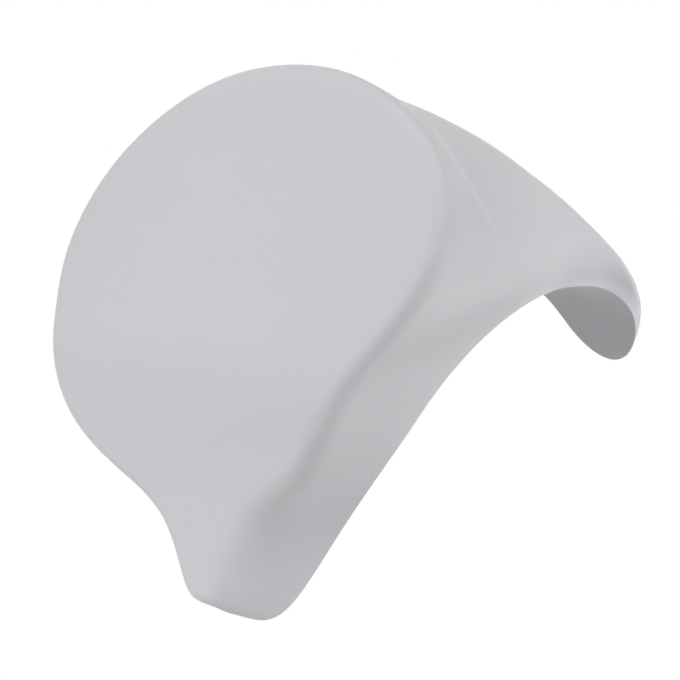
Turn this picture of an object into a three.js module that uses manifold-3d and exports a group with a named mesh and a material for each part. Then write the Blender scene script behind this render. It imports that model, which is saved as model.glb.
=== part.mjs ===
// A bath headrest: a moulded foam pillow that hangs over the rim of a bath.
// Millimetres. X runs across, -Y faces the bather, +Z is up.
// The origin is the middle of the flat seat that rests on the rim.
import * as THREE from 'three';
import { LoftGeometry } from 'three/addons/geometries/LoftGeometry.js';
import { mergeVertices } from 'three/addons/utils/BufferGeometryUtils.js';
import Module from 'manifold-3d';

const wasm = await Module();
wasm.setup();

// Underside: a wall leg, a rounded corner, a flat seat and a hook, all in one bent sheet
const SEAT_LENGTH = 64.5;
const CORNER_RADIUS = 76;
const WALL_ANGLE = 66.3;
const HOOK_RADIUS = 38;
const HOOK_ANGLE = 63.1;

// Half outline of the underside sheet laid flat, neck end first, as shares of its half width and length.
// Along is measured on the sheet from the middle of the seat; these points steer a smooth curve.
const UNDERSIDE_WIDTH = 166;
const UNDERSIDE_LENGTH = 320;
const UNDERSIDE_SHAPE = [
  [0, -0.667],
  [0.364, -0.676],
  [0.541, -0.52],
  [0.917, -0.349],
  [1, -0.21],
  [0.882, -0.106],
  [0.192, 0.064],
  [0.404, 0.212],
  [0, 0.327],
];

// Face: leans back, bends towards the bath's wall at the neck, and bends forwards again at the tip
const FACE_FORWARD = 164.1;
const FACE_HEIGHT = -2.2;
const FACE_TILT = 24.6;
const FACE_BEND_START = -12.5;
const FACE_BEND_RADIUS = 72.5;
const FACE_BEND_ANGLE = 45.3;
const NECK_LENGTH = 16.2;
const TIP_BEND_RADIUS = 30.2;
const TIP_BEND_ANGLE = 34.2;
const FACE_CROWN_RADIUS = 915;

// Half outline of the face, neck end first, as shares of its half width and of its length
const FACE_WIDTH = 264;
const FACE_LENGTH = 228;
const FACE_SHAPE = [
  [0, -0.517],
  [0.121, -0.494],
  [0.215, -0.382],
  [0.567, -0.3135],
  [0.86, -0.074],
  [1, 0.1],
  [0.895, 0.301],
  [0.448, 0.449],
  [0, 0.481],
];

// Flank: the side wall from the face's rounded ridge to the edge of the underside
const NECK_RIDGE_RADIUS = 12.5;
const CROWN_RIDGE_RADIUS = 4.8;
const SADDLE_FLARE = 5.5;
const HOOK_LIP_ANGLE = 138;
const CAVITY_LIP_ANGLE = 80;
const SADDLE_SHARPNESS = 2.49;
const SADDLE_SHARE = 1.07;
const FLANK_PULL = { side: [0.28, 0.09], saddle: [0.6, 0.1] };

// Walls and what is moulded inside
const SKIN_THICKNESS = 2.5;
const BASE_SKIN_THICKNESS = 3;
const BASE_RIM_WIDTH = 4;
const BASE_SKIN_END = 28;
const CLEARANCE = 0.4;
const STIFFENER_WIDTH = 24;
const STIFFENER_THICKNESS = 1.5;
const STIFFENER_CUP_GAP = 20;
const STIFFENER_HOOK_END = 16;
const KEY_HOLE_DIAMETER = 10;
const KEY_HOLE_PLACES = [-142, -104, -57, -27, 2];

// Suction cups on the wall leg, each on a peg in a flanged socket
const CUP_DIAMETER = 32;
const CUP_HEIGHT = 7;
const CUP_WALL = 1.8;
const CUP_LIP = 0.8;
const CUP_NECK_LENGTH = 1.5;
const CUP_NECK_DIAMETER = 12;
const PEG_DIAMETER = 7;
const PEG_LENGTH = 9;
const SOCKET_WALL = 2.4;
const SOCKET_ROOF = 2;
const SOCKET_FLANGE_DIAMETER = 22;
const SOCKET_FLANGE_THICKNESS = 2;
// Where the cups sit: across, and up from the neck end of the underside
const CUP_PLACES = {
  left: [-26, 74],
  right: [26, 74],
  lower: [0, 24],
};

// Mesh fineness
const OUTLINE_STEPS = 40;
const ROUND_STEPS = 24;
const BELL_STEPS = 4;
const STRIP_BEND_STEPS = 10;
const MERGE_DISTANCE = 1e-4;
const CUT_MARGIN = 2;

const radians = THREE.MathUtils.degToRad;
const mix = THREE.MathUtils.lerp;
const wallTurn = radians(WALL_ANGLE);
const hookTurn = radians(HOOK_ANGLE);
// A bend that turns downwards: how far it reaches out, how far it drops and how much it has turned
function bend(distance, radius, turn) {
  const angle = Math.min(distance / radius, turn);
  const straight = Math.max(distance - radius * turn, 0);
  return {
    angle,
    reach: radius * Math.sin(angle) + straight * Math.cos(angle),
    drop: radius * (1 - Math.cos(angle)) + straight * Math.sin(angle),
  };
}

// A point of the underside sheet, raised square to it into the pillow
function undersidePoint(across, along, rise = 0) {
  const side = along < 0 ? -1 : 1;
  const flat = Math.min(Math.abs(along), SEAT_LENGTH / 2);
  const beyond = Math.abs(along) - flat;
  const turned = side < 0
    ? bend(beyond, CORNER_RADIUS, wallTurn)
    : bend(beyond, HOOK_RADIUS, hookTurn);
  const y = side * (flat + turned.reach + rise * Math.sin(turned.angle));
  const z = rise * Math.cos(turned.angle) - turned.drop;
  return new THREE.Vector3(across, y, z);
}

// The face in side view: how far back and how high it is, and how it leans, at a place along it
function facePath(along) {
  const path = { y: -FACE_FORWARD, z: FACE_HEIGHT, lean: radians(FACE_TILT) };
  const runDown = (length) => {
    path.y -= length * Math.sin(path.lean);
    path.z -= length * Math.cos(path.lean);
  };
  const bendBack = (length, radius) => {
    const lean = path.lean - length / radius;
    path.y -= radius * (Math.cos(lean) - Math.cos(path.lean));
    path.z -= radius * (Math.sin(path.lean) - Math.sin(lean));
    path.lean = lean;
  };
  let rest = Math.max(FACE_BEND_START - along, 0);
  const use = (length) => {
    const used = Math.min(rest, length);
    rest -= used;
    return used;
  };
  runDown(-Math.max(along, FACE_BEND_START));
  bendBack(use(FACE_BEND_RADIUS * radians(FACE_BEND_ANGLE)), FACE_BEND_RADIUS);
  runDown(use(NECK_LENGTH));
  bendBack(use(TIP_BEND_RADIUS * radians(TIP_BEND_ANGLE)), -TIP_BEND_RADIUS);
  runDown(rest);
  return path;
}

function faceNormal(along) {
  const { lean } = facePath(along);
  return new THREE.Vector3(0, -Math.cos(lean), Math.sin(lean));
}

// A point of the crowned face, sunk square to it into the pillow
function facePoint(across, along, sink = 0) {
  const { y, z } = facePath(along);
  const crown = across * across / 2 / FACE_CROWN_RADIUS;
  return new THREE.Vector3(across, y, z).addScaledVector(faceNormal(along), -crown - sink);
}

// A closed outline: a uniform cubic spline steered by the half points and their mirror images
function smoothOutline(shape, width, length) {
  const half = shape.map(([across, along]) => [across * width / 2, along * length]);
  const mirrored = half.slice(1, -1).reverse().map(([across, along]) => [-across, along]);
  const steer = [...half, ...mirrored];
  return Array.from({ length: OUTLINE_STEPS }, (_, step) => {
    const place = step * steer.length / OUTLINE_STEPS;
    const first = Math.floor(place);
    const u = place - first;
    const weights = [
      (1 - u) ** 3 / 6,
      (3 * u ** 3 - 6 * u ** 2 + 4) / 6,
      (3 * u + 3 * u ** 2 - 3 * u ** 3 + 1) / 6,
      u ** 3 / 6,
    ];
    const point = new THREE.Vector2();
    weights.forEach((weight, k) => {
      const [across, along] = steer[(first + k - 1 + steer.length) % steer.length];
      point.x += weight * across;
      point.y += weight * along;
    });
    return point;
  });
}

// Each point of a closed outline moved inwards; the distance may differ from point to point
function insetOutline(outline, distanceAt) {
  const count = outline.length;
  return outline.map((point, step) => {
    const before = outline[(step + count - 1) % count];
    const after = outline[(step + 1) % count];
    const tangent = after.clone().sub(before).normalize();
    const inward = new THREE.Vector2(-tangent.y, tangent.x);
    return point.clone().addScaledVector(inward, distanceAt(step));
  });
}

// Share of the way round the outline from the neck, none there, to the top of the face
function topShare(step) {
  return (1 - Math.cos(step * 2 * Math.PI / OUTLINE_STEPS)) / 2;
}

// Share of the saddle in the flank: little round the neck, all of it behind the top of the face
function saddleShare(step) {
  return topShare(step) ** SADDLE_SHARPNESS;
}

function ridgeRadius(step) {
  return mix(NECK_RIDGE_RADIUS, CROWN_RIDGE_RADIUS, topShare(step));
}

// Rings of one closed pillow body, from the middle of its underside to the middle of its face
function pillowRings({ face, underside, sink, rise, cutThrough, lipAngle, steps }) {
  const ridge = face.map((point) => facePoint(point.x, point.y, sink));
  const edge = underside.map((point) => undersidePoint(point.x, point.y, rise));
  const innerFace = insetOutline(face, (step) => ridgeRadius(step) - sink);
  const lip = radians(lipAngle);
  const lipDirection = new THREE.Vector3(0, Math.cos(lip), -Math.sin(lip));
  const flare = radians(SADDLE_FLARE);

  const flanks = ridge.map((corner, step) => {
    const share = saddleShare(step);
    const inner = facePoint(innerFace[step].x, innerFace[step].y, sink);
    const chord = edge[step].clone().sub(corner).normalize();
    const outwards = corner.clone().sub(inner).normalize();
    const backwards = faceNormal(face[step].y).multiplyScalar(-Math.cos(flare));
    backwards.addScaledVector(outwards, Math.sin(flare));
    const leave = chord.clone().lerp(backwards, share * SADDLE_SHARE).normalize();
    const arrive = chord.clone().lerp(lipDirection, share).normalize();
    const start = corner.clone().addScaledVector(leave, ridgeRadius(step) - sink);
    const span = start.distanceTo(edge[step]);
    const pullOut = span * mix(FLANK_PULL.side[0], FLANK_PULL.saddle[0], share);
    const pullIn = span * mix(FLANK_PULL.side[1], FLANK_PULL.saddle[1], share);
    const wall = new THREE.CubicBezierCurve3(
      start,
      start.clone().addScaledVector(leave, pullOut),
      edge[step].clone().addScaledVector(arrive, -pullIn),
      edge[step],
    );
    const round = new THREE.QuadraticBezierCurve3(inner, corner, start);
    return { wall, round };
  });

  const rings = [];
  const lowest = rise - cutThrough;
  rings.push(underside.map((point) => undersidePoint(0, point.y, lowest)));
  if (cutThrough > 0) rings.push(underside.map((point) => undersidePoint(point.x, point.y, lowest)));
  for (let k = steps.flank; k >= 0; k--) {
    rings.push(flanks.map(({ wall }) => wall.getPoint(k / steps.flank)));
  }
  for (let k = steps.ridge - 1; k > 0; k--) {
    rings.push(flanks.map(({ round }) => round.getPoint(k / steps.ridge)));
  }
  for (let k = steps.face; k >= 0; k--) {
    const share = k / steps.face;
    rings.push(innerFace.map((point) => facePoint(point.x * share, point.y * share, sink)));
  }
  return rings;
}

// A closed solid from a geometry whose shared corners are merged and collapsed triangles dropped
function solidOf(geometry) {
  const bare = new THREE.BufferGeometry().copy(geometry);
  bare.deleteAttribute('normal');
  bare.deleteAttribute('uv');
  const merged = mergeVertices(bare, MERGE_DISTANCE);
  const corners = merged.index.array;
  const triVerts = [];
  for (let k = 0; k < corners.length; k += 3) {
    const [a, b, c] = corners.slice(k, k + 3);
    if (a !== b && b !== c && c !== a) triVerts.push(a, b, c);
  }
  return new wasm.Manifold(new wasm.Mesh({
    numProp: 3,
    vertProperties: merged.attributes.position.array,
    triVerts: new Uint32Array(triVerts),
  }));
}

function geometryOf(solid) {
  const mesh = solid.getMesh();
  const geometry = new THREE.BufferGeometry();
  geometry.setAttribute('position', new THREE.Float32BufferAttribute(mesh.vertProperties, 3));
  geometry.setIndex(Array.from(mesh.triVerts));
  geometry.computeVertexNormals();
  return geometry;
}

function loftSolid(rings, options = {}) {
  return solidOf(new LoftGeometry(rings, options));
}

// A turned solid about its own Z axis, from a profile of [radius, height] points, lowest first
function turned(profile) {
  const points = profile.map(([radius, height]) => new THREE.Vector2(radius, height));
  return new THREE.LatheGeometry(points, ROUND_STEPS).rotateX(Math.PI / 2);
}

// A plain round plug about its own Z axis
function plug(diameter, bottom, top) {
  const geometry = new THREE.CylinderGeometry(diameter / 2, diameter / 2, top - bottom, ROUND_STEPS);
  return geometry.rotateX(Math.PI / 2).translate(0, 0, (bottom + top) / 2);
}

// The frame of a place on the underside: its own Z points square into the pillow
function placeOn(across, along) {
  const origin = undersidePoint(across, along);
  const inwards = undersidePoint(across, along, 1).sub(origin);
  const frame = new THREE.Object3D();
  frame.position.copy(origin);
  frame.quaternion.setFromUnitVectors(new THREE.Vector3(0, 0, 1), inwards);
  frame.updateMatrixWorld();
  return frame;
}

function solidAt(frame, geometry) {
  return solidOf(geometry.clone().applyMatrix4(frame.matrixWorld));
}

const faceOutline = smoothOutline(FACE_SHAPE, FACE_WIDTH, FACE_LENGTH);
const undersideOutline = smoothOutline(UNDERSIDE_SHAPE, UNDERSIDE_WIDTH, UNDERSIDE_LENGTH);
const neckEnd = undersideOutline[0].y;
const hookTip = undersideOutline[OUTLINE_STEPS / 2].y;

// Outline of the base skin's opening: inside the rim, and ended where the hook turns solid
function openingOutline(extra) {
  const inset = insetOutline(undersideOutline, () => BASE_RIM_WIDTH + extra);
  const reach = (BASE_SKIN_END - extra) / (hookTip - BASE_RIM_WIDTH - extra);
  return inset.map((point) => new THREE.Vector2(point.x, point.y > 0 ? point.y * reach : point.y));
}

function pillowBody(sink, extra, rise, cutThrough, lipAngle, steps) {
  return loftSolid(pillowRings({
    face: insetOutline(faceOutline, () => sink),
    underside: extra === null ? undersideOutline : openingOutline(extra),
    sink,
    rise,
    cutThrough,
    lipAngle,
    steps,
  }));
}

const showSteps = { flank: 7, ridge: 3, face: 6 };
const insideSteps = { flank: 5, ridge: 2, face: 3 };
const insideRise = BASE_SKIN_THICKNESS + CLEARANCE;

// Outer skin: the face, flanks, saddle and solid hook, hollow and open underneath
function outerSkin() {
  const outside = pillowBody(0, null, 0, 0, HOOK_LIP_ANGLE, showSteps);
  const drop = insideRise + CUT_MARGIN;
  const cavity = pillowBody(SKIN_THICKNESS, 0, insideRise, drop, CAVITY_LIP_ANGLE, insideSteps);
  return outside.subtract(cavity);
}

// Base skin: the sheet that closes the underside and rests on the bath
function baseSkin(frames) {
  const outline = openingOutline(CLEARANCE);
  const middle = outline.map((point) => new THREE.Vector2(0, point.y));
  const rings = [[middle, 0], [outline, 0], [outline, BASE_SKIN_THICKNESS], [middle, BASE_SKIN_THICKNESS]];
  const sheet = loftSolid(rings.map(([points, rise]) => (
    points.map((point) => undersidePoint(point.x, point.y, rise))
  )));
  const hole = plug(sleeveDiameter + 2 * CLEARANCE, -CUT_MARGIN, BASE_SKIN_THICKNESS + CUT_MARGIN);
  return frames.reduce((solid, frame) => solid.subtract(solidAt(frame, hole)), sheet);
}

// A strip bent along the underside, as the stiffener or as the pocket that clears it
function bentStrip(extra) {
  const half = STIFFENER_WIDTH / 2 + extra;
  const lowerSocketTop = neckEnd + CUP_PLACES.lower[1] + SOCKET_FLANGE_DIAMETER / 2;
  const start = lowerSocketTop + STIFFENER_CUP_GAP - extra;
  const end = STIFFENER_HOOK_END + extra;
  const low = insideRise - extra;
  const high = insideRise + STIFFENER_THICKNESS + extra;
  const cornerStart = -SEAT_LENGTH / 2 - CORNER_RADIUS * wallTurn;
  const bendPlaces = Array.from({ length: STRIP_BEND_STEPS + 1 }, (_, step) => (
    mix(cornerStart, -SEAT_LENGTH / 2, step / STRIP_BEND_STEPS)
  ));
  const between = [...bendPlaces, SEAT_LENGTH / 2].filter((along) => along > start && along < end);
  const places = [start, ...between, end];
  return loftSolid(places.map((along) => [
    undersidePoint(-half, along, low),
    undersidePoint(-half, along, high),
    undersidePoint(half, along, high),
    undersidePoint(half, along, low),
  ]), { capStart: true, capEnd: true });
}

// Stiffener: a bent steel strip that keeps the wall leg and the seat at their angle
function saddleStiffener() {
  const hole = plug(KEY_HOLE_DIAMETER, 0, insideRise + STIFFENER_THICKNESS + CUT_MARGIN);
  return KEY_HOLE_PLACES.reduce(
    (strip, along) => strip.subtract(solidAt(placeOn(0, along), hole)),
    bentStrip(0),
  );
}

const boreDiameter = PEG_DIAMETER + 2 * CLEARANCE;
const boreDepth = PEG_LENGTH + CLEARANCE;
const sleeveDiameter = boreDiameter + 2 * SOCKET_WALL;
const flangeTop = insideRise + SOCKET_FLANGE_THICKNESS;
const socketTop = boreDepth + SOCKET_ROOF;

// Socket: a flanged bush with a blind bore, held between the base skin and the foam
function cupSocket() {
  return turned([
    [0, boreDepth],
    [boreDiameter / 2, boreDepth],
    [boreDiameter / 2, 0],
    [sleeveDiameter / 2, 0],
    [sleeveDiameter / 2, insideRise],
    [SOCKET_FLANGE_DIAMETER / 2, insideRise],
    [SOCKET_FLANGE_DIAMETER / 2, flangeTop],
    [sleeveDiameter / 2, flangeTop],
    [sleeveDiameter / 2, socketTop],
    [0, socketTop],
  ]);
}

// Suction cup: a thin bell on a short neck, with the peg that goes into the socket
function suctionCup() {
  const radius = CUP_DIAMETER / 2;
  const neckRadius = CUP_NECK_DIAMETER / 2;
  const top = -CLEARANCE - CUP_NECK_LENGTH;
  const rim = top - CUP_HEIGHT;
  const bell = (start, high, end, low) => Array.from({ length: BELL_STEPS }, (_, step) => {
    const turn = (step + 1) / BELL_STEPS * Math.PI / 2;
    return [mix(start, end, Math.sin(turn)), mix(low, high, Math.cos(turn))];
  });
  const outside = bell(neckRadius, top, radius, rim + CUP_LIP).reverse();
  const inside = bell(0, top - CUP_WALL, radius - CUP_LIP, rim);
  return turned([
    [0, top - CUP_WALL],
    ...inside,
    [radius, rim],
    ...outside,
    [neckRadius, top],
    [neckRadius, -CLEARANCE],
    [PEG_DIAMETER / 2, -CLEARANCE],
    [PEG_DIAMETER / 2, PEG_LENGTH],
    [0, PEG_LENGTH],
  ]);
}

// Foam core: fills the skins and keeps clear of the stiffener and the sockets
function foamCore(frames) {
  const body = pillowBody(
    SKIN_THICKNESS + CLEARANCE,
    CLEARANCE,
    insideRise,
    0,
    CAVITY_LIP_ANGLE,
    insideSteps,
  );
  const flangePocket = plug(SOCKET_FLANGE_DIAMETER + 2 * CLEARANCE, 0, flangeTop + CLEARANCE);
  const barrelPocket = plug(sleeveDiameter + 2 * CLEARANCE, 0, socketTop + CLEARANCE);
  return frames.reduce(
    (solid, frame) => solid.subtract(solidAt(frame, flangePocket)).subtract(solidAt(frame, barrelPocket)),
    body.subtract(bentStrip(CLEARANCE)),
  );
}

const skinFinish = { color: 0xc9cacd, roughness: 0.55, metalness: 0 };
const foamFinish = { color: 0xe9e4d2, roughness: 0.95, metalness: 0 };
const steelFinish = { color: 0xb9bcc0, roughness: 0.35, metalness: 1 };
const socketFinish = { color: 0xd9dadb, roughness: 0.5, metalness: 0 };
const cupFinish = { color: 0xdfe3e6, roughness: 0.25, metalness: 0 };

function part(name, geometry, finish) {
  const mesh = new THREE.Mesh(geometry, new THREE.MeshStandardMaterial(finish));
  mesh.name = name;
  return mesh;
}

const headrest = new THREE.Group();
const cupFrames = Object.entries(CUP_PLACES).map(([side, [across, up]]) => {
  const frame = placeOn(across, neckEnd + up);
  frame.add(part(`cup_socket_${side}`, geometryOf(solidOf(cupSocket())), socketFinish));
  frame.add(part(`suction_cup_${side}`, geometryOf(solidOf(suctionCup())), cupFinish));
  return frame;
});
headrest.add(part('outer_skin', geometryOf(outerSkin()), skinFinish));
headrest.add(part('base_skin', geometryOf(baseSkin(cupFrames)), skinFinish));
headrest.add(part('foam_core', geometryOf(foamCore(cupFrames)), foamFinish));
headrest.add(part('saddle_stiffener', geometryOf(saddleStiffener()), steelFinish));
cupFrames.forEach((frame) => headrest.add(frame));

export default headrest;
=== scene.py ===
# %% [markdown]
# A bath pillow, dressed for its portrait. The pillow is one soft grey moulding that hangs over the rim of a bath: a
# round face for the head, flanks that run back into a thin hook, and an arched underside with suction cups. The
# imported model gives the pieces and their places; this script gives them their fine shape and their finish.

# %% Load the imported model
import math

import bmesh
import bpy
import numpy as np
from mathutils import Matrix


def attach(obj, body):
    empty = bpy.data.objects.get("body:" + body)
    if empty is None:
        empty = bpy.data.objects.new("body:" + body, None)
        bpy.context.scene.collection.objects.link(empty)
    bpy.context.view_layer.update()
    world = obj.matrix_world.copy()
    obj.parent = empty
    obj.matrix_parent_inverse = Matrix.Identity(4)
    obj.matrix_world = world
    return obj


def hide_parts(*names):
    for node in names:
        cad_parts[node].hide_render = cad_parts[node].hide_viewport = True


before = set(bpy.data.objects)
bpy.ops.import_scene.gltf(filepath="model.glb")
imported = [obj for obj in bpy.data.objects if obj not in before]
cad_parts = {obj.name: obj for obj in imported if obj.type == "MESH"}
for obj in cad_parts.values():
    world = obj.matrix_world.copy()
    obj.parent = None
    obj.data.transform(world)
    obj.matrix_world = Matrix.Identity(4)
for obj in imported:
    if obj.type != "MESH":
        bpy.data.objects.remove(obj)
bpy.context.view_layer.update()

print("packed nodes:", sorted(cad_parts))

# %% [markdown]
# The underside is a flat sheet bent over the rim, like a strip of card: a wall leg, a rounded corner, a flat seat
# and a hook. A point of the card has a place across and a place along, so it is enough to know how far along each
# bend starts. A modeller could draw this as a curve and extrude it; as a formula it also gives any height above the
# sheet. Sizes are in millimetres, here and below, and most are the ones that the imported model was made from. The
# origin is the middle of the flat seat that rests on the rim; X runs across, -Y looks at the bather and +Z is up.

# %% A point of the underside
MM = 0.001
SEAT_LENGTH = 64.5
CORNER_RADIUS, WALL_TURN = 76.0, math.radians(66.3)
HOOK_RADIUS, HOOK_TURN = 38.0, math.radians(63.1)


def underside_place(across, along, rise=0.0):
    wall_side = along < 0
    flat = np.minimum(np.abs(along), SEAT_LENGTH / 2)
    beyond = np.abs(along) - flat
    radius = np.where(wall_side, CORNER_RADIUS, HOOK_RADIUS)
    turn = np.where(wall_side, WALL_TURN, HOOK_TURN)
    angle = np.minimum(beyond / radius, turn)
    straight = np.maximum(beyond - radius * turn, 0)
    reach = flat + radius * np.sin(angle) + straight * np.cos(angle) + rise * np.sin(angle)
    drop = radius * (1 - np.cos(angle)) + straight * np.sin(angle) - rise * np.cos(angle)
    return np.stack([across, np.where(wall_side, -reach, reach), -drop], axis=-1)


hook_end = SEAT_LENGTH / 2 + HOOK_RADIUS * HOOK_TURN
print("the hook's bend ends at", underside_place(np.array(0.0), np.array(hook_end)).round(1), "mm")

# %% [markdown]
# The face leans back. Below its middle it bends under, so that the neck follows the bath's wall, and at the tip it
# bends forward again. Across, it is a little crowned. By hand this is a grid with two Simple Deform bends. Here a
# path runs down the face, one stretch after another, so that an outline can be laid on the bent face as if the face
# were flat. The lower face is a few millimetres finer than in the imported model.

# %% The path down the face
FACE_FORWARD, FACE_HEIGHT, FACE_TILT = 164.1, -2.2, math.radians(24.6)
FACE_BEND_START, FACE_BEND_RADIUS, FACE_BEND_TURN = -14.0, 62.0, math.radians(45.3)
NECK_LENGTH, TIP_BEND_RADIUS, TIP_BEND_TURN = 20.0, 30.2, math.radians(-24.0)


def bend_down(path, length, radius, turn):
    y, z, lean = path
    turned = np.sign(turn) * np.minimum(length / radius, abs(turn))
    reach = radius * np.sign(turn)
    after = lean - turned
    return y - reach * (np.cos(after) - np.cos(lean)), z - reach * (np.sin(lean) - np.sin(after)), after


def run_down(path, length):
    y, z, lean = path
    return y - length * np.sin(lean), z - length * np.cos(lean), lean


def face_path(along):
    below = np.maximum(FACE_BEND_START - along, 0)
    bend = np.minimum(below, FACE_BEND_RADIUS * FACE_BEND_TURN)
    neck = np.minimum(below - bend, NECK_LENGTH)
    tip = np.minimum(below - bend - neck, TIP_BEND_RADIUS * abs(TIP_BEND_TURN))
    path = run_down((-FACE_FORWARD, FACE_HEIGHT, FACE_TILT), -np.maximum(along, FACE_BEND_START))
    path = bend_down(path, bend, FACE_BEND_RADIUS, FACE_BEND_TURN)
    path = run_down(path, neck)
    path = bend_down(path, tip, TIP_BEND_RADIUS, TIP_BEND_TURN)
    return run_down(path, below - bend - neck - tip)


lean_at_neck = math.degrees(FACE_TILT - FACE_BEND_TURN)
print("the face leans back", round(math.degrees(FACE_TILT), 1), "degrees, the neck", round(lean_at_neck, 1))

# %% A point of the face
FACE_CROWN_RADIUS = 915.0


def face_normal(along):
    lean = face_path(along)[2]
    return np.stack([0 * lean, -np.cos(lean), np.sin(lean)], axis=-1)


def face_place(across, along, sink=0.0):
    y, z, lean = face_path(along)
    crown = across ** 2 / 2 / FACE_CROWN_RADIUS
    return np.stack([across, y, z], axis=-1) - face_normal(along) * (crown + sink)[..., None]


print("middle of the face at", face_place(np.array(0.0), np.array(0.0)).round(1), "mm")

# %% [markdown]
# Both outlines are smooth closed curves. Nine points and their mirror images steer a cubic spline, and a
# Bezier or NURBS circle would do the same by hand. Each outline point of the face has a partner on the underside,
# so the flank between the two can be spanned by one curve per pair. The points run from the tip of the neck to the
# top of the face, and from the wall leg's end to the hook's; each is a share of the half width and of the length.

# %% Outlines
STEPS = 128
FACE_WIDTH, FACE_LENGTH = 264.0, 228.0
FACE_SHAPE = [
    (0, -0.542), (0.06, -0.528), (0.212, -0.388), (0.622, -0.322), (0.828, -0.068), (1.01, 0.097), (0.895, 0.301),
    (0.448, 0.449), (0, 0.481),
]
UNDERSIDE_WIDTH, UNDERSIDE_LENGTH = 166.0, 320.0
UNDERSIDE_SHAPE = [
    (0, -0.667), (0.364, -0.676), (0.541, -0.52), (0.917, -0.349), (1, -0.21), (0.882, -0.106), (0.192, 0.064),
    (0.404, 0.212), (0, 0.327),
]


def smooth_outline(shape, width, length):
    half = [(x * width / 2, y * length) for x, y in shape]
    steer = np.array(half + [(-x, y) for x, y in half[-2:0:-1]])
    place = np.arange(STEPS) * len(steer) / STEPS
    first = place.astype(int)
    u = (place - first)[:, None]
    weights = [(1 - u) ** 3, 3 * u ** 3 - 6 * u ** 2 + 4, 3 * u + 3 * u ** 2 - 3 * u ** 3 + 1, u ** 3]
    return sum(w / 6 * steer[(first + k - 1) % len(steer)] for k, w in enumerate(weights))


def inset(outline, distance):
    tangent = np.roll(outline, -1, axis=0) - np.roll(outline, 1, axis=0)
    tangent /= np.linalg.norm(tangent, axis=1)[:, None]
    inward = np.stack([-tangent[:, 1], tangent[:, 0]], axis=1)
    return outline + inward * np.broadcast_to(distance, STEPS)[:, None]


face_outline = smooth_outline(FACE_SHAPE, FACE_WIDTH, FACE_LENGTH)
underside_outline = smooth_outline(UNDERSIDE_SHAPE, UNDERSIDE_WIDTH, UNDERSIDE_LENGTH)
print("face", np.ptp(face_outline, axis=0).round(1), "underside", np.ptp(underside_outline, axis=0).round(1), "mm")

# %% [markdown]
# The base skin closes an opening in the underside. Its outline lies inside the rim, and it ends before the hook,
# which is moulded solid. Inset Faces would draw it by hand; here the same outline is moved in, and its hook end is
# shortened.

# %% The opening under the pillow
BASE_RIM_WIDTH, BASE_SKIN_END = 4.0, 28.0


def opening_outline(extra):
    outline = inset(underside_outline, BASE_RIM_WIDTH + extra)
    reach = (BASE_SKIN_END - extra) / outline[STEPS // 2, 1]
    outline[:, 1] = np.where(outline[:, 1] > 0, outline[:, 1] * reach, outline[:, 1])
    return outline


opening = opening_outline(0.0)
print("opening", np.ptp(opening, axis=0).round(1), "mm")

# %% [markdown]
# A flank leaves the face's ridge, which is rounded, and arrives at the edge of the underside. Round the neck it is
# a plain slope. Behind the top of the face it leaves straight backwards and curls over at the hook, and a share
# that grows round the outline blends the two. These are Bezier curves, evaluated here so that rings of points can
# be read off them.

# %% Ridge and saddle round the outline
NECK_RIDGE_RADIUS, CROWN_RIDGE_RADIUS = 12.5, 4.8
TIP_RIDGE_CUT, TIP_SPREAD = 8.0, math.radians(24.0)
SADDLE_SHARPNESS = 2.49

turn = np.arange(STEPS) * 2 * np.pi / STEPS
saddle = ((1 - np.cos(turn)) / 2) ** SADDLE_SHARPNESS
from_tip = np.minimum(turn, 2 * np.pi - turn)
ridge_radius = CROWN_RIDGE_RADIUS + (NECK_RIDGE_RADIUS - CROWN_RIDGE_RADIUS) * (1 + np.cos(turn)) / 2
ridge_radius -= TIP_RIDGE_CUT * np.exp(-(from_tip / TIP_SPREAD) ** 2)
print("ridge radius from", ridge_radius.min().round(1), "to", ridge_radius.max().round(1), "mm")

# %% Flank curves
SADDLE_FLARE, SADDLE_SHARE = math.radians(5.5), 1.07
SIDE_PULL, SADDLE_PULL = (0.28, 0.09), (0.6, 0.1)


def unit(vectors):
    return vectors / np.linalg.norm(vectors, axis=-1)[..., None]


def blend(first, second, share):
    return first + (second - first) * share[:, None]


def pillow_curves(face, underside, sink, rise, lip):
    radius = ridge_radius - sink
    inner_outline = inset(face, radius)
    inner = face_place(inner_outline[:, 0], inner_outline[:, 1], sink)
    corner = face_place(face[:, 0], face[:, 1], sink)
    edge = underside_place(underside[:, 0], underside[:, 1], rise)
    chord = unit(edge - corner)
    backwards = unit(corner - inner) * np.sin(SADDLE_FLARE) - face_normal(face[:, 1]) * np.cos(SADDLE_FLARE)
    curl = np.array([0.0, np.cos(lip), -np.sin(lip)])
    leave = unit(blend(chord, backwards, saddle * SADDLE_SHARE))
    arrive = unit(blend(chord, curl, saddle))
    start = corner + leave * radius[:, None]
    span = np.linalg.norm(edge - start, axis=1)
    pull_out, pull_in = (span * (side + (top - side) * saddle) for side, top in zip(SIDE_PULL, SADDLE_PULL))
    flank = [start, start + leave * pull_out[:, None], edge - arrive * pull_in[:, None], edge]
    return inner_outline, [inner, corner, start], flank


def on_curve(points, t):
    while len(points) > 1:
        points = [a + (b - a) * t for a, b in zip(points, points[1:])]
    return points[0]


print(STEPS, "flank curves, one for each pair of outline points")

# %% [markdown]
# Foam cast in a mould has no hard corners, so each curve from the underside to the middle of the face is softened:
# every point moves to the weighted mean of its neighbours along the curve. That draws the ridge in, so the ridge is
# lifted back to its place, and the lift fades away down the flank. Towards the middle of the face, all of it fades
# away. A Smooth modifier does much the same, without the lift. The ridge is softest at both sides of the neck.

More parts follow.
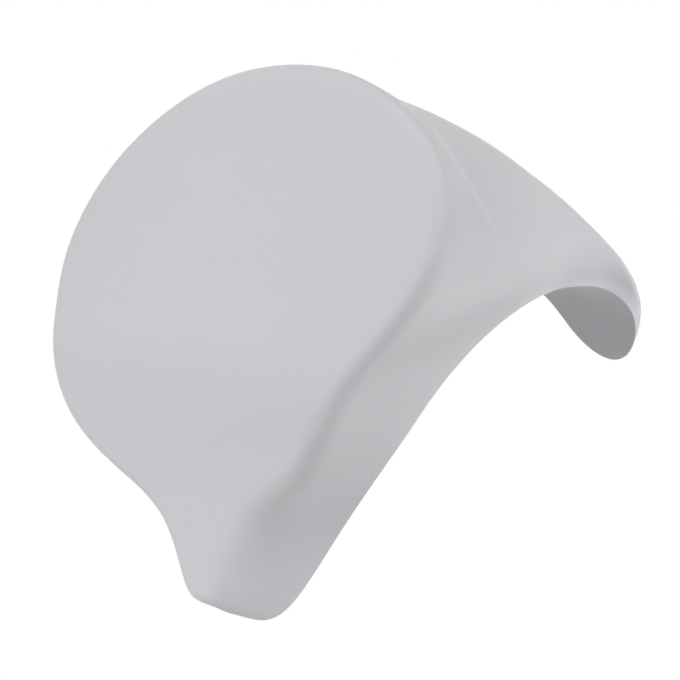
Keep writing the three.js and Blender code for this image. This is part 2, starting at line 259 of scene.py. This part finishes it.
# %% Soften the curves
SIDE_SOFTNESS, NECK_SOFTNESS = 3.5, 10.0
NECK_SIDE, NECK_SPREAD = math.radians(45.0), math.radians(26.0)
SOFT_REACH = 30.0
SPREAD = np.linspace(-2, 2, 17)
SHARES = np.exp(-SPREAD ** 2 / 2) / np.exp(-SPREAD ** 2 / 2).sum()
near_neck = sum(np.exp(-((from_tip - side) / NECK_SPREAD) ** 2) for side in (-NECK_SIDE, NECK_SIDE))
softness = SIDE_SOFTNESS + (NECK_SOFTNESS - SIDE_SOFTNESS) * near_neck


def smooth_step(share):
    return share ** 2 * (3 - 2 * share)


def softened(rings, ridge):
    path = np.stack(rings)
    run = np.cumsum(np.linalg.norm(np.diff(path, axis=0, prepend=path[:1]), axis=2), axis=0)
    soft = np.zeros_like(path)
    for k in range(STEPS):
        for spread, share in zip(SPREAD * softness[k], SHARES):
            at = run[:, k] + spread
            inside = np.clip(at, 0, run[-1, k])
            for axis in range(3):
                curve = path[:, k, axis]
                mirrored = np.interp(2 * inside - at, run[:, k], curve)
                soft[:, k, axis] += share * (2 * np.interp(inside, run[:, k], curve) - mirrored)
    up_flank = np.minimum(run / run[ridge], 1)
    lift = (path[ridge] - soft[ridge]) * smooth_step(up_flank)[..., None]
    near_ridge = np.exp(-(np.maximum(run - run[ridge], 0) / SOFT_REACH) ** 2)
    return path + (soft - path + lift) * near_ridge[..., None]


print("softness from", softness.min().round(1), "to", softness.max().round(1), "mm along each curve")

# %% [markdown]
# Behind the face the saddle has a little relief: a shallow crease parts it from the ridge, runs down the flanks and
# fades there, and behind the crease the saddle swells. A sculptor would brush this in. Here each is a soft bump along
# the surface's own normal, so it can be read as a height over the curve, from 0 at the ridge to 1 at the edge of the
# underside. A swell has a place and a width on that scale, and a height in millimetres.

# %% Relief of the saddle
CREASE_START, CREASE_LOW, CREASE_BOW = 0.05, 0.3, 1.7
CREASE_TURN, CREASE_FADE = math.radians(130.0), math.radians(17.5)
CREASE_DEPTH, CREASE_WIDTH = 1.7, 9.0
SWELLS = [(0.19, 0.06, 0.9), (0.5, 0.16, -1.0), (0.82, 0.13, 1.5)]
SWELL_TURN, SWELL_FADE = math.radians(115.0), math.radians(30.0)
EDGE_CALM, EDGE_SHARPNESS = 0.7, 8


def saddle_relief(path, shares):
    down = np.array(shares)[:, None]
    around = np.roll(path, -1, axis=1) - np.roll(path, 1, axis=1)
    normal = unit(np.cross(around, np.gradient(path, axis=0)))
    length = np.linalg.norm(np.diff(path, axis=0), axis=2).sum(axis=0)
    fading = np.clip((CREASE_TURN - from_tip) / CREASE_FADE, 0, 1)
    crease = CREASE_START + (CREASE_LOW - CREASE_START) * fading ** CREASE_BOW
    valley = -CREASE_DEPTH * (1 - fading) * np.exp(-((down - crease) * length / CREASE_WIDTH) ** 2)
    swell = sum(height * np.exp(-((down - place) / width) ** 2) for place, width, height in SWELLS)
    behind = smooth_step(np.clip((from_tip - SWELL_TURN) / SWELL_FADE, 0, 1))
    calm = 1 - EDGE_CALM * down ** EDGE_SHARPNESS
    return path + normal * (valley + swell * behind * calm)[..., None]


print("crease", CREASE_DEPTH, "mm deep; swells of", [height for _, _, height in SWELLS], "mm")

# %% [markdown]
# Rings of points run from the edge of the underside up the flank, over the ridge and in to the middle of the face.
# More rings lie where the surface turns quickly, so that a subdivision surface keeps the soft edges as they are.

# %% Rings over the pillow
HOOK_LIP = math.radians(138.0)
EDGE_SHARES, FLANK_SHARES, TOP_SHARES = [1.0, 0.992], np.linspace(0.97, 0.12, 26), np.linspace(0.1, 0.0, 8)
RIDGE_RINGS, FACE_RINGS = 8, 14


def pillow_rings(face, underside, sink, rise, lip, shares, ridge_count, face_count):
    inner_outline, round_curve, flank = pillow_curves(face, underside, sink, rise, lip)
    rings = [on_curve(flank, t) for t in shares]
    rings += [on_curve(round_curve, 1 - k / ridge_count) for k in range(1, ridge_count)]
    for k in range(face_count, -1, -1):
        flat = inner_outline * k / face_count
        rings.append(face_place(flat[:, 0], flat[:, 1], sink))
    return list(softened(rings, len(shares) + ridge_count // 2 - 1))


show_shares = [*EDGE_SHARES, *FLANK_SHARES, *TOP_SHARES]
show_rings = pillow_rings(
    face_outline, underside_outline, sink=0.0, rise=0.0, lip=HOOK_LIP, shares=show_shares, ridge_count=RIDGE_RINGS,
    face_count=FACE_RINGS,
)
flank_count = len(show_shares)
show_rings[:flank_count] = saddle_relief(np.stack(show_rings[:flank_count]), show_shares)
print(len(show_rings), "rings of", STEPS, "points over the show side")

# %% [markdown]
# Every soft piece grows in the same way: a circle, extruded ring by ring, and each ring moved to its own row of
# points. That is what Extrude and Scale do by hand. A ring that shrinks to a point is merged there, so no pole
# stays open.

# %% Grow a piece from rings
RING_MERGE = 1e-7


def grow(rings, start_pole=False, end_pole=False):
    bm = bmesh.new()
    ring = bmesh.ops.create_circle(bm, segments=STEPS)["verts"]
    first = ring
    for vert, point in zip(ring, rings[0]):
        vert.co = point * MM
    for points in rings[1:]:
        edges = [bm.edges.get((ring[k - 1], ring[k])) for k in range(STEPS)]
        made = bmesh.ops.extrude_edge_only(bm, edges=edges)["geom"]
        fresh = {item for item in made if isinstance(item, bmesh.types.BMVert)}
        ring = [next(e.other_vert(v) for e in v.link_edges if e.other_vert(v) in fresh) for v in ring]
        for vert, point in zip(ring, points):
            vert.co = point * MM
    for pole, verts in ((start_pole, first), (end_pole, ring)):
        if pole:
            bmesh.ops.pointmerge(bm, verts=verts, merge_co=verts[0].co)
    bmesh.ops.remove_doubles(bm, verts=bm.verts, dist=RING_MERGE)
    bmesh.ops.recalc_face_normals(bm, faces=bm.faces)
    return bm


def finish_piece(bm, name):
    mesh = bpy.data.meshes.new(name)
    bm.to_mesh(mesh)
    bm.free()
    mesh.shade_smooth()
    piece = bpy.data.objects.new(name, mesh)
    bpy.context.scene.collection.objects.link(piece)
    print(name, len(mesh.polygons), "faces")
    return piece


# %% [markdown]
# The outer skin is a closed shell: the show side, a rim that turns under to the opening, and the hidden inside
# wall. The rim is narrow along the flanks and wide under the hook, so it takes several rings to follow the hook's
# curl. A Solidify modifier would give the wall too, but not a cavity that ends before the solid hook.

# %% The outer skin
SKIN_THICKNESS, BASE_SKIN_THICKNESS, CLEARANCE = 2.5, 3.0, 0.4
INSIDE_RISE, CAVITY_LIP = BASE_SKIN_THICKNESS + CLEARANCE, math.radians(80.0)
INSIDE_SHARES = [1.0, 0.97, *np.linspace(0.9, 0.0, 9)]
INSIDE_RIDGE_RINGS, INSIDE_FACE_RINGS = 3, 5
RIM_SHARES = (1.0, 0.97, 0.8, 0.6, 0.4, 0.2, 0.05, 0.012)


def inside_rings(depth, base):
    return pillow_rings(
        inset(face_outline, depth), base, sink=depth, rise=INSIDE_RISE, lip=CAVITY_LIP, shares=INSIDE_SHARES,
        ridge_count=INSIDE_RIDGE_RINGS, face_count=INSIDE_FACE_RINGS,
    )


rim_rings = []
for share in RIM_SHARES:
    flat = underside_outline + (opening - underside_outline) * share
    rim_rings.append(underside_place(flat[:, 0], flat[:, 1]))
shell_rings = inside_rings(SKIN_THICKNESS, opening)[::-1] + rim_rings + show_rings
outer_skin = finish_piece(grow(shell_rings, True, True), "pillow_outer_skin")

# %% [markdown]
# The foam filling has the same form, a little smaller. On the real pillow it is poured and fills the skins; here it
# keeps a hair's clearance. The middle of its underside is a line and not a point, so the ring there folds flat on
# itself and its doubles are merged.

# %% The foam filling
FOAM_SHARES = (0.0, 0.4, 0.8, 0.97)
sheet_outline = opening_outline(CLEARANCE)


def sheet_ring(share, rise):
    return underside_place(sheet_outline[:, 0] * share, sheet_outline[:, 1], rise)


foam_rings = [sheet_ring(share, INSIDE_RISE) for share in FOAM_SHARES]
foam_rings += inside_rings(SKIN_THICKNESS + CLEARANCE, sheet_outline)
foam_filling = finish_piece(grow(foam_rings, False, True), "pillow_foam_filling")

# %% [markdown]
# The base skin is the sheet that lies on the bath: the same card as the underside, with its own thickness and a
# softened edge. Round holes for the cup sockets are cut with a Boolean modifier, which is then applied so that no
# cutter stays.

# %% The base skin sheet
SHEET_SOFT_EDGE, SHEET_EDGE_SHARE = 0.3, 0.985
sheet_rings = [sheet_ring(share, 0.0) for share in (0.0, 0.35, 0.7, SHEET_EDGE_SHARE)]
sheet_rings += [sheet_ring(1.0, rise) for rise in (SHEET_SOFT_EDGE, BASE_SKIN_THICKNESS - SHEET_SOFT_EDGE)]
sheet_rings += [sheet_ring(share, BASE_SKIN_THICKNESS) for share in (SHEET_EDGE_SHARE, 0.5, 0.0)]
base_skin = finish_piece(grow(sheet_rings), "pillow_base_skin")

# %% Holes for the sockets
CUP_SIDE, UPPER_CUPS, LOWER_CUP = 26.0, 74.0, 24.0
HOLE_RADIUS, CUTTER_LENGTH, CUTTER_SEGMENTS = 6.7, 20.0, 48
neck_end = underside_outline[0, 1]
CUP_PLACES = {
    "left": (-CUP_SIDE, neck_end + UPPER_CUPS), "right": (CUP_SIDE, neck_end + UPPER_CUPS),
    "lower": (0.0, neck_end + LOWER_CUP),
}


def wall_frame(across, along):
    place = underside_place(np.array(across), np.array(along)) * MM
    return Matrix.Translation(place) @ Matrix.Rotation(WALL_TURN, 4, "X")


cutter = bmesh.new()
for across, along in CUP_PLACES.values():
    bmesh.ops.create_cone(
        cutter, cap_ends=True, segments=CUTTER_SEGMENTS, radius1=HOLE_RADIUS * MM, radius2=HOLE_RADIUS * MM,
        depth=CUTTER_LENGTH * MM, matrix=wall_frame(across, along),
    )
cutter_piece = finish_piece(cutter, "socket_hole_cutter")
cut = base_skin.modifiers.new("socket holes", "BOOLEAN")
cut.operation, cut.object, cut.solver = "DIFFERENCE", cutter_piece, "EXACT"
graph = bpy.context.evaluated_depsgraph_get()
cut_mesh = bpy.data.meshes.new_from_object(base_skin.evaluated_get(graph))
base_skin.modifiers.clear()
base_skin.data = cut_mesh
bpy.data.objects.remove(cutter_piece)
print("base skin with holes:", len(cut_mesh.polygons), "faces")

# %% [markdown]
# A suction cup is turned, like a small wine glass: a thin bell, a neck and a peg. Spin makes it from one profile
# drawn in a plane, where each point has a radius and a height over the base skin. The peg's end is rounded off,
# because it is pushed into its socket by hand.

# %% Profile of a suction cup
CUP_TOP, CUP_RIM = -1.9, -8.9
BELL_RADIUS, BELL_WALL, BELL_HOLLOW = 16.0, 0.8, 5.2
CUP_NECK_RADIUS, PEG_RADIUS, PEG_END = 6.0, 3.5, 9.0
quarter = np.linspace(0, math.pi / 2, 11)
hollow_radius, flare = BELL_RADIUS - BELL_WALL, BELL_RADIUS - CUP_NECK_RADIUS
shoulder = CUP_RIM + BELL_WALL
cup_profile = [(hollow_radius * math.sin(a), CUP_RIM + BELL_HOLLOW * math.cos(a)) for a in quarter]
cup_profile += [(BELL_RADIUS - 0.2, CUP_RIM), (BELL_RADIUS, CUP_RIM + 0.3)]
cup_profile += [
    (CUP_NECK_RADIUS + flare * math.sin(a), shoulder + (CUP_TOP - shoulder) * math.cos(a)) for a in quarter[::-1]
]
cup_profile += [
    (CUP_NECK_RADIUS, -0.7), (CUP_NECK_RADIUS - 0.3, -0.4), (PEG_RADIUS + 0.3, -0.4), (PEG_RADIUS, -0.1),
    (PEG_RADIUS, PEG_END - 0.8), (PEG_RADIUS - 0.2, PEG_END - 0.3), (PEG_RADIUS - 0.9, PEG_END), (0, PEG_END),
]
print("cup profile of", len(cup_profile), "points,", PEG_END - CUP_RIM, "mm high")

# %% Suction cups
SPIN_STEPS, SPIN_MERGE = 64, 1e-6


def spun(profile, frame_matrix, name):
    bm = bmesh.new()
    verts = [bm.verts.new((radius * MM, 0, height * MM)) for radius, height in profile]
    edges = [bm.edges.new(pair) for pair in zip(verts, verts[1:])]
    bmesh.ops.spin(
        bm, geom=verts + edges, axis=(0, 0, 1), cent=(0, 0, 0), angle=2 * math.pi, steps=SPIN_STEPS, use_merge=True,
    )
    bmesh.ops.remove_doubles(bm, verts=bm.verts, dist=SPIN_MERGE)
    bmesh.ops.recalc_face_normals(bm, faces=bm.faces)
    bmesh.ops.transform(bm, matrix=frame_matrix, verts=bm.verts)
    return finish_piece(bm, name)


cups = {}
for side, (across, along) in CUP_PLACES.items():
    cups[side] = spun(cup_profile, wall_frame(across, along), "cup_" + side)

# %% [markdown]
# Each piece rides on the body that carries it and stands for its imported node, which is hidden. The pillow and
# its filling are moulded, and a subdivision surface rounds their rings.

# %% Ride and replace
for piece, node, slot in (
    (outer_skin, "outer_skin", "skin"), (base_skin, "base_skin", "base_skin"), (foam_filling, "foam_core", "foam"),
):
    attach(piece, "pillow")
    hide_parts(node)
for side, piece in cups.items():
    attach(piece, "cup_" + side)
    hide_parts("suction_cup_" + side)
for piece in (outer_skin, foam_filling):
    soft = piece.modifiers.new("soft surface", "SUBSURF")
    soft.levels = soft.render_levels = 1

# %% [markdown]
# Materials are written as sums. A small class wraps a socket, and each operator on it adds a Math node, so that a
# line reads like the formula that it makes. One method adds every other kind of node. The same graph could be laid
# out by hand in the Shader Editor. A colour is given in levels from 0 to 255, as a picture has them, and is turned
# into the linear light that a shader needs.

# %% Shader sums
class Wire:
    def __init__(self, tree, socket=None):
        self.tree, self.socket = tree, socket

    def node(self, kind, settings=None, inputs=None, out=0):
        made = self.tree.nodes.new(kind)
        for key, value in (settings or {}).items():
            setattr(made, key, value)
        for key, value in (inputs or {}).items():
            if isinstance(value, Wire):
                self.tree.links.new(value.socket, made.inputs[key])
            else:
                made.inputs[key].default_value = value
        return Wire(self.tree, made.outputs[out])

    def feed(self, socket):
        self.tree.links.new(self.socket, socket)

    def maths(self, operation, first, second):
        return self.node("ShaderNodeMath", {"operation": operation}, {0: first, 1: second})

    def __add__(self, other):
        return self.maths("ADD", self, other)

    def __sub__(self, other):
        return self.maths("SUBTRACT", self, other)

    def __rsub__(self, other):
        return self.maths("SUBTRACT", other, self)

    def __mul__(self, other):
        return self.maths("MULTIPLY", self, other)

    __radd__ = __add__


# %% Helpers for materials
MIX_DARK, MIX_LIGHT, MIX_COLOUR = 6, 7, 2


def new_material(name):
    material = bpy.data.materials.new(name)
    material.use_nodes = True
    wire = Wire(material.node_tree)
    return material, wire, wire.tree.nodes["Principled BSDF"], wire.node("ShaderNodeTexCoord", out="Object")


def linear(*levels):
    shares = [level / 255 for level in levels]
    return tuple(s / 12.92 if s < 0.0404 else ((s + 0.055) / 1.055) ** 2.4 for s in shares) + (1.0,)


def two_tones(wire, share, dark, light):
    inputs = {"Factor": share, MIX_DARK: dark, MIX_LIGHT: light}
    return wire.node("ShaderNodeMix", {"data_type": "RGBA"}, inputs, out=MIX_COLOUR)


def ramp(wire, value, low, high):
    inputs = {"Value": value, "From Min": low, "From Max": high}
    return wire.node("ShaderNodeMapRange", {"interpolation_type": "SMOOTHSTEP"}, inputs)


print("a middle grey is", round(linear(128)[0], 3), "in linear light")

# %% [markdown]
# The pillow's skin is polyurethane, cast against a finely blasted mould. Its colour is nearly even, with faint
# clouds from the paint in the mould, and its surface has a very fine pebble that takes the shine off. On each side
# of the show face, behind the ridge, the skin has one sharp fold. It is too fine for the mesh, so it is a bump: a
# step across a plane that cuts the flank, faded out towards both ends and towards the ridge. A painted highlight
# follows the fold as a light line in the colour. Sizes in materials are in metres, as the shader has them.

# %% Fold in the skin
FOLD_ACROSS, FOLD_OFFSET = (0.507, 0.704, 0.496), -0.00033
FOLD_STEP, FOLD_SLOPE = 0.0008, 0.014
FOLD_LOW, FOLD_TOP = (0.018, 0.036), (0.062, 0.07)


def fold_in_skin(wire, place):
    x, y, z = (wire.node("ShaderNodeSeparateXYZ", inputs={"Vector": place}, out=axis) for axis in "XYZ")
    either_side = wire.maths("ABSOLUTE", x, 0.0)
    across = either_side * FOLD_ACROSS[0] + y * FOLD_ACROSS[1] + z * FOLD_ACROSS[2] - FOLD_OFFSET
    ends = ramp(wire, z, *FOLD_LOW) * (1.0 - ramp(wire, z, *FOLD_TOP))
    step = ramp(wire, across, -FOLD_SLOPE, -FOLD_STEP) * (1.0 - ramp(wire, across, -FOLD_STEP, FOLD_STEP))
    # This line is a painted highlight: a light line in the colour along the fold.
    fold_highlight_line = ramp(wire, across, -2 * FOLD_STEP, 0.0) * (1.0 - ramp(wire, across, 0.0, 2 * FOLD_STEP))
    return step * ends, fold_highlight_line * ends


print("the fold runs from", FOLD_LOW[0], "to", FOLD_TOP[1], "m above the seat")

# %% Moulded skin
CLOUD_SCALE, SPECK_SCALE, PEBBLE_SCALE = 11.0, 900.0, 1100.0
SPECK_SHADE, TONE_RANGE = 0.02, 0.1
SKIN_ROUGHNESS, CLOUD_ROUGHNESS, SPECK_ROUGHNESS = 0.5, 0.12, 0.1
GRAIN_STRENGTH, SKIN_SPECULAR = 0.35, 0.35


def moulded_skin(name, colour, clouds, grain_height, fold_size, fold_highlight_strength):
    material, wire, shader, place = new_material(name)
    cloud = wire.node("ShaderNodeTexNoise", inputs={"Vector": place, "Scale": CLOUD_SCALE, "Detail": 3.0})
    speck = wire.node("ShaderNodeTexNoise", inputs={"Vector": place, "Scale": SPECK_SCALE, "Detail": 2.0})
    pebble = wire.node("ShaderNodeTexVoronoi", inputs={"Vector": place, "Scale": PEBBLE_SCALE})
    fold, fold_highlight_line = fold_in_skin(wire, place)
    # Along the fold the colour is lightened by the line: a painted highlight.
    shade = (cloud - 0.5) * clouds + (speck - 0.5) * SPECK_SHADE + fold_highlight_line * fold_highlight_strength
    dark = tuple(c * (1 - TONE_RANGE) for c in colour[:3]) + (1.0,)
    light = tuple(min(c * (1 + TONE_RANGE), 1.0) for c in colour[:3]) + (1.0,)
    two_tones(wire, shade + 0.5, dark, light).feed(shader.inputs["Base Color"])
    folded = wire.node("ShaderNodeBump", inputs={"Height": fold, "Distance": fold_size})
    height = pebble * 0.7 + speck * 0.3
    grain = {"Height": height, "Distance": grain_height, "Strength": GRAIN_STRENGTH, "Normal": folded}
    wire.node("ShaderNodeBump", inputs=grain).feed(shader.inputs["Normal"])
    rough = SKIN_ROUGHNESS + (cloud - 0.5) * CLOUD_ROUGHNESS + (speck - 0.5) * SPECK_ROUGHNESS
    rough.feed(shader.inputs["Roughness"])
    shader.inputs["Specular IOR Level"].default_value = SKIN_SPECULAR
    return material


skin_material = moulded_skin(
    "grey_moulded_skin", linear(205, 205.5, 209), clouds=0.10, grain_height=0.00006, fold_size=0.0006, fold_highlight_strength=0.4,
)
base_material = moulded_skin(
    "grey_base_skin", linear(198, 199, 201), clouds=0.12, grain_height=0.00012, fold_size=0.0, fold_highlight_strength=0.0,
)
print("skin materials:", skin_material.name, base_material.name)

# %% [markdown]
# Inside, the foam is cream and full of open cells. Voronoi cells of two sizes make the pores as a bump, and the
# colour is darker where the bump is low, as painted shade in the pores; a mesh of real pores would be far too heavy.

# %% Open-cell foam
CELL_SCALE, PORE_SCALE, PIT_DEPTH, PIT_STRENGTH, FOAM_ROUGHNESS = 420.0, 900.0, 0.0006, 0.8, 0.95
foam_material, wire, shader, place = new_material("cream_open_cell_foam")
cells = wire.node("ShaderNodeTexVoronoi", {"feature": "DISTANCE_TO_EDGE"}, {"Vector": place, "Scale": CELL_SCALE})
pores = wire.node("ShaderNodeTexVoronoi", {"feature": "F1"}, {"Vector": place, "Scale": PORE_SCALE})
pit_height_and_shade = cells * 2.0 + pores * 0.5
# Where the pits are low the colour turns darker: painted shade in the pores.
two_tones(wire, pit_height_and_shade, linear(196, 182, 148), linear(238, 231, 208)).feed(shader.inputs["Base Color"])
pitted = wire.node("ShaderNodeBump", inputs={"Height": pit_height_and_shade, "Distance": PIT_DEPTH, "Strength": PIT_STRENGTH})
pitted.feed(shader.inputs["Normal"])
shader.inputs["Roughness"].default_value = FOAM_ROUGHNESS
print("foam material:", foam_material.name)

# %% [markdown]
# The cups are soft clear-grey vinyl: smooth, a little glossy, and faintly cloudy. The sockets are white
# polypropylene with a moulded satin, and the strip inside is steel with the fine lines of rolling along it. Each is
# one noise that moves between two tones and makes the surface rougher or smoother; for the steel, the noise is
# stretched into lines.

# %% Vinyl, polypropylene and steel
def clouded(name, scale, detail, tones, rough, spread, stretch=(1.0, 1.0, 1.0)):
    material, wire, shader, place = new_material(name)
    stretched = wire.node("ShaderNodeMapping", inputs={"Vector": place, "Scale": stretch})
    cloud = wire.node("ShaderNodeTexNoise", inputs={"Vector": stretched, "Scale": scale, "Detail": detail})
    two_tones(wire, cloud, *tones).feed(shader.inputs["Base Color"])
    (rough + cloud * spread).feed(shader.inputs["Roughness"])
    return material, shader


tones = linear(186, 192, 196), linear(214, 219, 222)
vinyl_material, shader = clouded("clear_grey_vinyl", scale=160.0, detail=4.0, tones=tones, rough=0.16, spread=0.16)
shader.inputs["Transmission Weight"].default_value = 0.25

tones = linear(214, 215, 216), linear(228, 229, 230)
socket_material, shader = clouded(
    "white_polypropylene", scale=1400.0, detail=3.0, tones=tones, rough=0.38, spread=0.2,
)

ALONG_STRIP = (1.0, 0.02, 0.02)
tones = linear(176, 178, 182), linear(206, 208, 211)
steel_material, shader = clouded(
    "rolled_steel", scale=3000.0, detail=2.0, tones=tones, rough=0.24, spread=0.22, stretch=ALONG_STRIP,
)
shader.inputs["Metallic"].default_value = 1.0
print("small parts:", vinyl_material.name, socket_material.name, steel_material.name)

# %% Give every piece its material
finishes = {outer_skin: skin_material, base_skin: base_material, foam_filling: foam_material}
finishes.update({piece: vinyl_material for piece in cups.values()})
finishes.update({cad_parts["cup_socket_" + side]: socket_material for side in CUP_PLACES})
finishes[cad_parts["saddle_stiffener"]] = steel_material
for piece, material in finishes.items():
    piece.data.materials.clear()
    piece.data.materials.append(material)
print("materials given to", len(finishes), "pieces")

# %% [markdown]
# The photograph was taken from the pillow's front right, a little above the rim, with a long lens. The camera stands
# there. Its place is measured along its own back, right and up axes, from a point near the origin, so that it can be
# moved as a photographer would move it.

# %% Camera
AZIMUTH, ELEVATION = math.radians(51.86), math.radians(4.2)
CAMERA_BACK, CAMERA_RIGHT, CAMERA_UP = 1007.42, -67.24, -24.04
CAMERA_ORIGIN = np.array([0, -2.135, 0])
LENS, SENSOR = 120.0, 36.0


def stand(name, data, axes, spot):
    thing = bpy.data.objects.new(name, data)
    thing.matrix_world = Matrix.Translation(spot) @ Matrix(np.stack(axes, axis=1)).to_4x4()
    bpy.context.scene.collection.objects.link(thing)
    return thing


back = np.array([
    math.sin(AZIMUTH) * math.cos(ELEVATION), -math.cos(AZIMUTH) * math.cos(ELEVATION), math.sin(ELEVATION),
])
right = np.array([math.cos(AZIMUTH), math.sin(AZIMUTH), 0.0])
up = np.cross(back, right)
spot = (CAMERA_BACK * back + CAMERA_RIGHT * right + CAMERA_UP * up + CAMERA_ORIGIN) * MM
camera_data = bpy.data.cameras.new("portrait_camera")
camera_data.lens, camera_data.sensor_width = LENS, SENSOR
bpy.context.scene.camera = stand("portrait_camera", camera_data, (right, up, back), spot)
print("camera at", spot.round(3))

# %% [markdown]
# The stage is a pale floor, as far below the rim as a bath is deep, so that the pillow hangs as it does in use. For
# the camera the floor fades into a white background away from the middle, and it keeps the pillow's soft shadow.
# From here on, sizes are in metres.

# %% Floor
FLOOR_PLACE, FLOOR_RADIUS, FLOOR_SEGMENTS = (0, -0.05, -0.40), 1.6, 96
FLOOR_COLOUR, FLOOR_ROUGHNESS, WHITE = (0.65, 0.65, 0.65, 1), 0.9, (1, 1, 1, 1)
FADE_START, FADE_END = 0.3, 0.65
floor_bm = bmesh.new()
bmesh.ops.create_circle(floor_bm, cap_ends=True, segments=FLOOR_SEGMENTS, radius=FLOOR_RADIUS)
bmesh.ops.translate(floor_bm, verts=floor_bm.verts, vec=FLOOR_PLACE)
floor = finish_piece(floor_bm, "studio_floor")
floor_material, wire, shader, place = new_material("pale_floor")
shader.inputs["Base Color"].default_value = FLOOR_COLOUR
shader.inputs["Roughness"].default_value = FLOOR_ROUGHNESS
middle = tuple(-c for c in FLOOR_PLACE)
level = wire.node("ShaderNodeMapping", inputs={"Vector": place, "Location": middle})
distance = wire.node("ShaderNodeVectorMath", {"operation": "LENGTH"}, {0: level}, out="Value")
fade = ramp(wire, distance, FADE_START, FADE_END) * wire.node("ShaderNodeLightPath", out="Is Camera Ray")
white = wire.node("ShaderNodeEmission", inputs={"Color": WHITE, "Strength": 1.0})
blended = wire.node("ShaderNodeMixShader", inputs={0: fade, 1: Wire(wire.tree, shader.outputs[0]), 2: white})
blended.feed(wire.tree.nodes["Material Output"].inputs["Surface"])
floor.data.materials.append(floor_material)

# %% [markdown]
# The world adds a faint glow from above. It is plain white for the camera, and for what mirrors or lets through, so
# the background needs no extra light.

# %% World
GLOW_LEVEL, GLOW_STRENGTH = 0.6, 0.02
world = bpy.data.worlds.new("white_studio")
bpy.context.scene.world = world
world.use_nodes = True
world.node_tree.nodes.clear()
wire = Wire(world.node_tree)
direction = wire.node("ShaderNodeTexCoord", out="Generated")
height = wire.node("ShaderNodeSeparateXYZ", inputs={"Vector": direction}, out="Z")
levels = {"Value": height, "From Min": -GLOW_LEVEL, "From Max": GLOW_LEVEL, "To Min": 0.0, "To Max": GLOW_STRENGTH}
glow = wire.node("ShaderNodeMapRange", inputs=levels)
ambient = wire.node("ShaderNodeBackground", inputs={"Color": WHITE, "Strength": glow})
plain = wire.node("ShaderNodeBackground", inputs={"Color": WHITE, "Strength": 1.0})
seen = wire.node("ShaderNodeLightPath", out="Is Camera Ray")
for ray in ("Is Glossy Ray", "Is Transmission Ray"):
    seen = wire.maths("MAXIMUM", seen, wire.node("ShaderNodeLightPath", out=ray))
mixed = wire.node("ShaderNodeMixShader", inputs={0: seen, 1: ambient, 2: plain})
mixed.feed(world.node_tree.nodes.new("ShaderNodeOutputWorld").inputs["Surface"])
print("world:", world.name)

# %% [markdown]
# The light is a white studio: nine large soft lamps stand round the pillow, each with a bearing from the front and a
# height, both in degrees, and a power in watts. Two small cards, behind the hook and below the neck, throw some light
# up. They are area lamps, because the photograph has no shadow with a sharp edge.

# %% Lamps
AIM, LAMP_DISTANCE, LAMP_SIZE, CARD_SIZE = (0, -0.05, 0), 1.75, 1.0, 0.2


def soft_lamp(name, place, aim, size, power):
    data = bpy.data.lights.new(name, "AREA")
    data.shape, data.size, data.energy = "DISK", size, power
    away = unit(np.array(place) - np.array(aim))
    side = unit(np.cross([0.0, 0.0, 1.0], away))
    return stand(name, data, (side, np.cross(away, side), away), place)


for name, around, above, power in (
    ("front_low", 0, -6, 4.0), ("front", 0, 15, 10.0), ("front_right", 30, 15, 3.6), ("right_high", 90, 40, 6.5),
    ("right", 115, -6, 8.8), ("back", 140, -6, 7.0), ("top", 0, 89, 12.0), ("left_high", -60, 30, 2.5),
    ("left", -125, 0, 3.5),
):
    turned, raised = math.radians(around), math.radians(above)
    level = LAMP_DISTANCE * math.cos(raised)
    place = (level * math.sin(turned), AIM[1] - level * math.cos(turned), LAMP_DISTANCE * math.sin(raised))
    soft_lamp(name + "_lamp", place, AIM, LAMP_SIZE, power)
for name, place, aim, power in (
    ("back", (0.2, 0.34, -0.28), (0.05, 0.02, 0), 0.52), ("front", (-0.1, -0.37, -0.3), (0.02, -0.16, -0.06), 0.23),
):
    card = soft_lamp(name + "_card", place, aim, CARD_SIZE, power)
    card.visible_camera = False
bpy.context.scene.view_settings.view_transform = "Standard"
